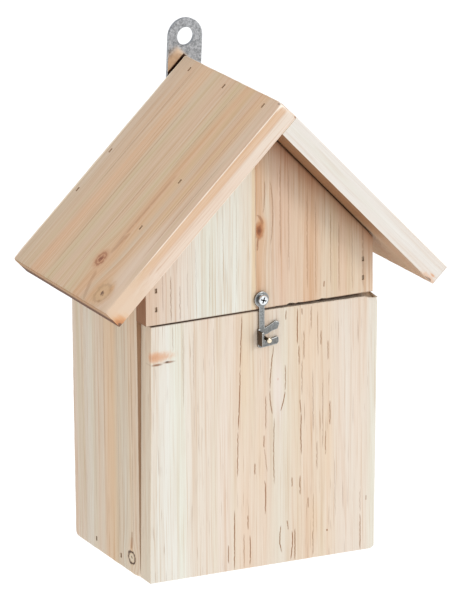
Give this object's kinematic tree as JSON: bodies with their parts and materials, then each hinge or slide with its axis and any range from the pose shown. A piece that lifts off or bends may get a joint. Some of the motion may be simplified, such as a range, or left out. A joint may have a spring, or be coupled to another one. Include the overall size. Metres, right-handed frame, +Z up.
{
  "type": "ladybug house",
  "caption": "Small wooden ladybug house with a pitched roof, a drop-front door held by a swinging latch hook, and a steel plate to hang it by.",
  "frame": {"origin": "centre of the hanging hole at the back face of the hanging plate, which lies against the wall", "axes": "+X to the right seen from the front, +Y from the front towards the wall, +Z up; the hanging hole's axis is Y"},
  "size_m": [0.2022, 0.1175, 0.2864],
  "materials": {
    "pine_pale": "rough-sawn, unfinished, faintly weathered",
    "pine_tan": "rough-sawn, unfinished",
    "pine_grey": "rough-sawn, unfinished, greyed",
    "galvanised_steel": "hot-dip galvanised, mottled matt",
    "zinc_plated_steel": "zinc plated, satin",
    "bright_steel": "plain drawn wire, dulled",
    "brass": "satin brass"
  },
  "bodies": {
    "carcass": {"back_panel": "pine_grey", "left_side_panel": "pine_grey", "right_side_panel": "pine_grey", "floor_panel": "pine_grey", "gable_left_board": "pine_pale", "gable_right_board": "pine_tan", "left_roof_board": "pine_tan", "right_roof_board": "pine_pale", "ridge_brads": "bright_steel", "roof_to_gable_brads": "bright_steel", "roof_to_back_brads": "bright_steel", "gable_to_side_brads": "bright_steel", "side_to_floor_brads": "bright_steel", "back_to_side_brads": "bright_steel", "hanging_plate": "galvanised_steel", "hanging_plate_screws": "zinc_plated_steel", "latch_pivot_screw": "zinc_plated_steel", "left_hinge_fixed_leaf": "zinc_plated_steel", "right_hinge_fixed_leaf": "zinc_plated_steel", "left_hinge_pin": "bright_steel", "right_hinge_pin": "bright_steel", "hinge_fixed_leaf_screws": "zinc_plated_steel"},
    "door": {"door_panel": "pine_pale", "left_hinge_door_leaf": "zinc_plated_steel", "right_hinge_door_leaf": "zinc_plated_steel", "hinge_door_leaf_screws": "zinc_plated_steel", "latch_pin": "brass"},
    "latch_hook": {"latch_hook": "zinc_plated_steel"}
  },
  "joints": [
    {"name": "door_hinge", "type": "hinge", "parent": "carcass", "child": "door", "pos_m": [-0.00253, -0.0811, -0.27408], "axis": [0.9998, 0, -0.0175], "range_deg": [0, 175]},
    {"name": "latch_pivot", "type": "hinge", "parent": "carcass", "child": "latch_hook", "pos_m": [-0.0029, -0.0948, -0.1224], "axis": [0, 1, 0], "range_deg": [0, 330]}
  ]
}
